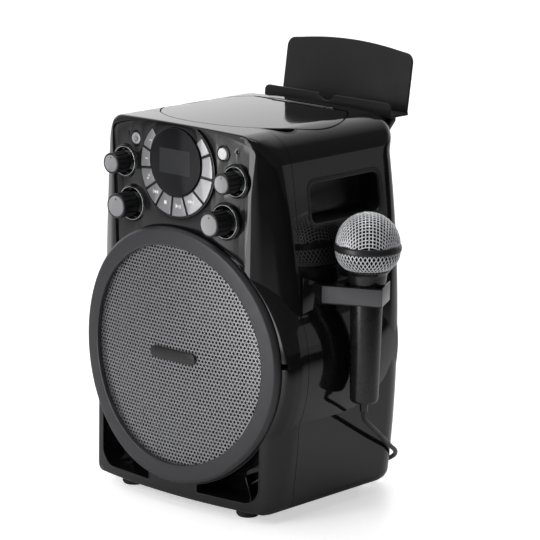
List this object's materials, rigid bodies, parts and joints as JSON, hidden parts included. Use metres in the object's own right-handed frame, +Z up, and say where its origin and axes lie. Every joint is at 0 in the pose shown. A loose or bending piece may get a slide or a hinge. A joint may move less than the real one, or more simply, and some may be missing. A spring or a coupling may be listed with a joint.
{
  "type": "karaoke machine",
  "caption": "Upright gloss karaoke machine with a large round speaker, dial of keys, knobs, top disc lid, rear tablet cradle and a corded microphone in a side holder.",
  "frame": {"origin": "under the middle of the outline without the cord, on the table plane", "axes": "+Z up, -Y towards the listener, +X to the listener's right, where the microphone hangs"},
  "size_m": [0.2834, 0.2807, 0.38],
  "materials": {
    "gloss_black": "high-gloss moulded black",
    "ring_grey": "satin dark grey",
    "grille_metal": "satin grey perforated sheet",
    "driver_steel": "plain steel",
    "surround_rubber": "soft black rubber",
    "cone_paper": "pressed paper, black",
    "panel_grey": "metallic dark grey paint",
    "bright_trim": "bright plated",
    "knob_black": "satin black with grey faces",
    "part_metal": "plain metal",
    "board_green": "coated board",
    "smoked_window": "smoked clear plastic",
    "display_grey": "grey display body",
    "key_silver": "light silver paint",
    "key_grey": "mid grey paint",
    "button_white": "light grey",
    "inner_black": "satin black",
    "hub_silver": "turned",
    "mesh_steel": "plated wire mesh",
    "cord_rubber": "black flexible jacket"
  },
  "bodies": {
    "body": {"front_housing": "gloss_black", "rear_housing": "gloss_black", "speaker_ring": "ring_grey", "speaker_grille": "grille_metal", "grille_badge": "gloss_black", "driver_basket": "driver_steel", "driver_surround": "surround_rubber", "driver_magnet": "driver_steel", "control_panel": "panel_grey", "knob_bezels": "bright_trim", "potentiometers": "part_metal", "control_board": "board_green", "dial_frame": "gloss_black", "display_window": "smoked_window", "display_module": "display_grey", "lid_hinge_pin": "driver_steel", "disc_deck": "inner_black", "spindle_motor": "driver_steel", "pickup_rails": "driver_steel", "main_board": "board_green", "transformer": "part_metal", "left_handle_pocket": "inner_black", "right_handle_pocket": "inner_black", "jack_panel": "inner_black", "rear_jacks": "part_metal", "mains_inlet": "inner_black", "cradle_socket": "inner_black", "tablet_cradle": "inner_black", "rear_screws": "driver_steel", "feet": "surround_rubber", "mic_holder": "inner_black", "mic_cord": "cord_rubber", "mic_cord_coil": "cord_rubber", "mic_plug": "part_metal"},
    "cone": {"driver_cone": "cone_paper"},
    "lid": {"disc_lid": "gloss_black"},
    "disc_hub": {"spindle_hub": "hub_silver"},
    "pickup": {"pickup_sled": "inner_black"},
    "microphone": {"mic_mesh_upper": "mesh_steel", "mic_band": "inner_black", "mic_mesh_lower": "mesh_steel", "mic_collar": "inner_black", "mic_handle": "inner_black", "mic_capsule": "part_metal"},
    "dial_key_1": {"key_1": "key_silver"},
    "dial_key_2": {"key_2": "key_silver"},
    "dial_key_3": {"key_3": "key_silver"},
    "dial_key_4": {"key_4": "key_silver"},
    "dial_key_5": {"key_5": "key_grey"},
    "dial_key_6": {"key_6": "key_grey"},
    "dial_key_7": {"key_7": "key_grey"},
    "dial_key_8": {"key_8": "key_grey"},
    "dial_key_9": {"key_9": "key_grey"},
    "dial_key_10": {"key_10": "key_grey"},
    "power_key": {"power_button": "key_silver"},
    "voice_key": {"voice_button": "button_white"},
    "upper_left_knob": {"knob_upper_left": "knob_black"},
    "upper_right_knob": {"knob_upper_right": "knob_black"},
    "lower_left_knob": {"knob_lower_left": "knob_black"},
    "lower_right_knob": {"knob_lower_right": "knob_black"}
  },
  "joints": [
    {"name": "cone_travel", "type": "slide", "parent": "body", "child": "cone", "axis": [0, 1, 0], "range_m": [-0.0015, 0.0015], "stiffness_N_per_m": 2500},
    {"name": "lid_hinge", "type": "hinge", "parent": "body", "child": "lid", "pos_m": [-0.0217, 0.05326, 0.3285], "axis": [-1, 0, 0], "range_deg": [0, 65]},
    {"name": "spindle_turn", "type": "hinge", "parent": "body", "child": "disc_hub", "pos_m": [-0.0217, -0.01214, 0.314], "axis": [0, 0, 1], "continuous": true},
    {"name": "pickup_travel", "type": "slide", "parent": "body", "child": "pickup", "axis": [1, 0, 0], "range_m": [0, 0.03]},
    {"name": "press_key_1", "type": "slide", "parent": "body", "child": "dial_key_1", "axis": [0, 1, 0], "range_m": [0, 0.0008], "stiffness_N_per_m": 600},
    {"name": "press_key_2", "type": "slide", "parent": "body", "child": "dial_key_2", "axis": [0, 1, 0], "range_m": [0, 0.0008], "stiffness_N_per_m": 600},
    {"name": "press_key_3", "type": "slide", "parent": "body", "child": "dial_key_3", "axis": [0, 1, 0], "range_m": [0, 0.0008], "stiffness_N_per_m": 600},
    {"name": "press_key_4", "type": "slide", "parent": "body", "child": "dial_key_4", "axis": [0, 1, 0], "range_m": [0, 0.0008], "stiffness_N_per_m": 600},
    {"name": "press_key_5", "type": "slide", "parent": "body", "child": "dial_key_5", "axis": [0, 1, 0], "range_m": [0, 0.0008], "stiffness_N_per_m": 600},
    {"name": "press_key_6", "type": "slide", "parent": "body", "child": "dial_key_6", "axis": [0, 1, 0], "range_m": [0, 0.0008], "stiffness_N_per_m": 600},
    {"name": "press_key_7", "type": "slide", "parent": "body", "child": "dial_key_7", "axis": [0, 1, 0], "range_m": [0, 0.0008], "stiffness_N_per_m": 600},
    {"name": "press_key_8", "type": "slide", "parent": "body", "child": "dial_key_8", "axis": [0, 1, 0], "range_m": [0, 0.0008], "stiffness_N_per_m": 600},
    {"name": "press_key_9", "type": "slide", "parent": "body", "child": "dial_key_9", "axis": [0, 1, 0], "range_m": [0, 0.0008], "stiffness_N_per_m": 600},
    {"name": "press_key_10", "type": "slide", "parent": "body", "child": "dial_key_10", "axis": [0, 1, 0], "range_m": [0, 0.0008], "stiffness_N_per_m": 600},
    {"name": "press_power_key", "type": "slide", "parent": "body", "child": "power_key", "axis": [0, 1, 0], "range_m": [0, 0.0008], "stiffness_N_per_m": 600},
    {"name": "press_voice_key", "type": "slide", "parent": "body", "child": "voice_key", "axis": [0, 1, 0], "range_m": [0, 0.0008], "stiffness_N_per_m": 600},
    {"name": "turn_upper_left_knob", "type": "hinge", "parent": "body", "child": "upper_left_knob", "pos_m": [-0.085, -0.10014, 0.29], "axis": [0, 1, 0], "range_deg": [-140, 140]},
    {"name": "turn_upper_right_knob", "type": "hinge", "parent": "body", "child": "upper_right_knob", "pos_m": [0.0416, -0.10014, 0.29], "axis": [0, 1, 0], "range_deg": [-140, 140]},
    {"name": "turn_lower_left_knob", "type": "hinge", "parent": "body", "child": "lower_left_knob", "pos_m": [-0.0752, -0.10014, 0.255], "axis": [0, 1, 0], "range_deg": [-140, 140]},
    {"name": "turn_lower_right_knob", "type": "hinge", "parent": "body", "child": "lower_right_knob", "pos_m": [0.0318, -0.10014, 0.255], "axis": [0, 1, 0], "range_deg": [-140, 140]},
    {"name": "microphone_lift", "type": "slide", "parent": "body", "child": "microphone", "axis": [0, 0, 1], "range_m": [0, 0.11]}
  ]
}
